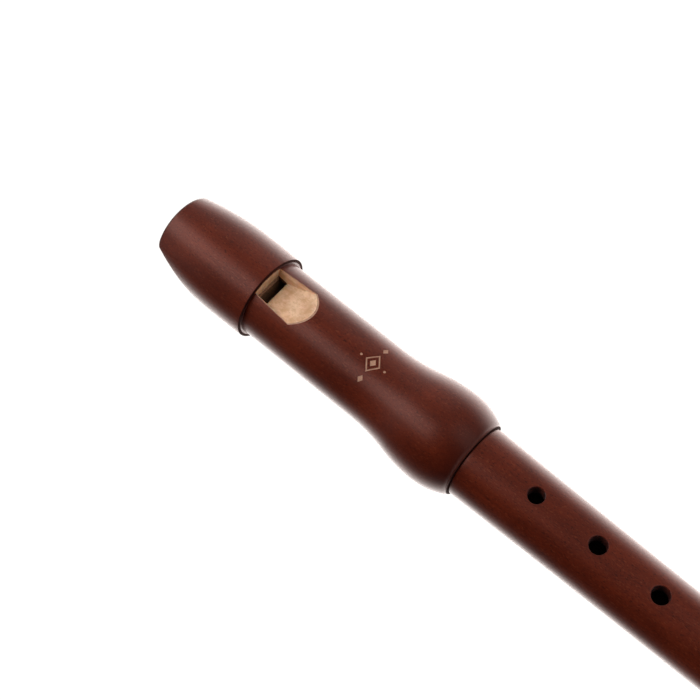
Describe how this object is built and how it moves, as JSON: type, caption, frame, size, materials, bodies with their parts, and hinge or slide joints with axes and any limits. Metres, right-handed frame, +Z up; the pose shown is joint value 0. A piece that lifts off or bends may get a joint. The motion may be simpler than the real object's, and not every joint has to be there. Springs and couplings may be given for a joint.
{
  "type": "soprano recorder",
  "caption": "Jointed wooden soprano recorder with a stepped beak cap, cedar block, cork-ringed tenons, bulging sockets and tone holes, standing on its foot.",
  "frame": {"origin": "centre of the foot joint's end face, on the bore's axis", "axes": "+Z up the bore to the beak's tip; the window and finger holes face -Y, the thumb hole faces +Y; +X is to the right when the window is seen from the front"},
  "size_m": [0.0308, 0.0308, 0.3202],
  "materials": {
    "stained_maple": "satin dark red-brown stain on the turned outside, bare light wood in the window",
    "cedar": "bare red-brown cedar",
    "cork": "bare fine cork"
  },
  "bodies": {
    "middle": {"middle_joint": "stained_maple"},
    "upper_cork": {"upper_tenon_cork": "cork"},
    "head": {"head_joint": "stained_maple", "beak_cap": "stained_maple"},
    "block": {"block": "cedar"},
    "lower_cork": {"lower_tenon_cork": "cork"},
    "foot": {"foot_joint": "stained_maple"}
  },
  "joints": [
    {"name": "head_turn", "type": "hinge", "parent": "middle", "child": "upper_cork", "pos_m": [0, 0, 0.2038], "axis": [0, 0, 1], "continuous": true},
    {"name": "head_pull", "type": "slide", "parent": "upper_cork", "child": "head", "axis": [0, 0, 1], "range_m": [0, 0.02]},
    {"name": "block_push", "type": "slide", "parent": "head", "child": "block", "axis": [0, 0, 1], "range_m": [0, 0.036]},
    {"name": "foot_turn", "type": "hinge", "parent": "middle", "child": "lower_cork", "pos_m": [0, 0, 0.065], "axis": [0, 0, 1], "continuous": true},
    {"name": "foot_pull", "type": "slide", "parent": "lower_cork", "child": "foot", "axis": [0, 0, -1], "range_m": [0, 0.012]}
  ]
}
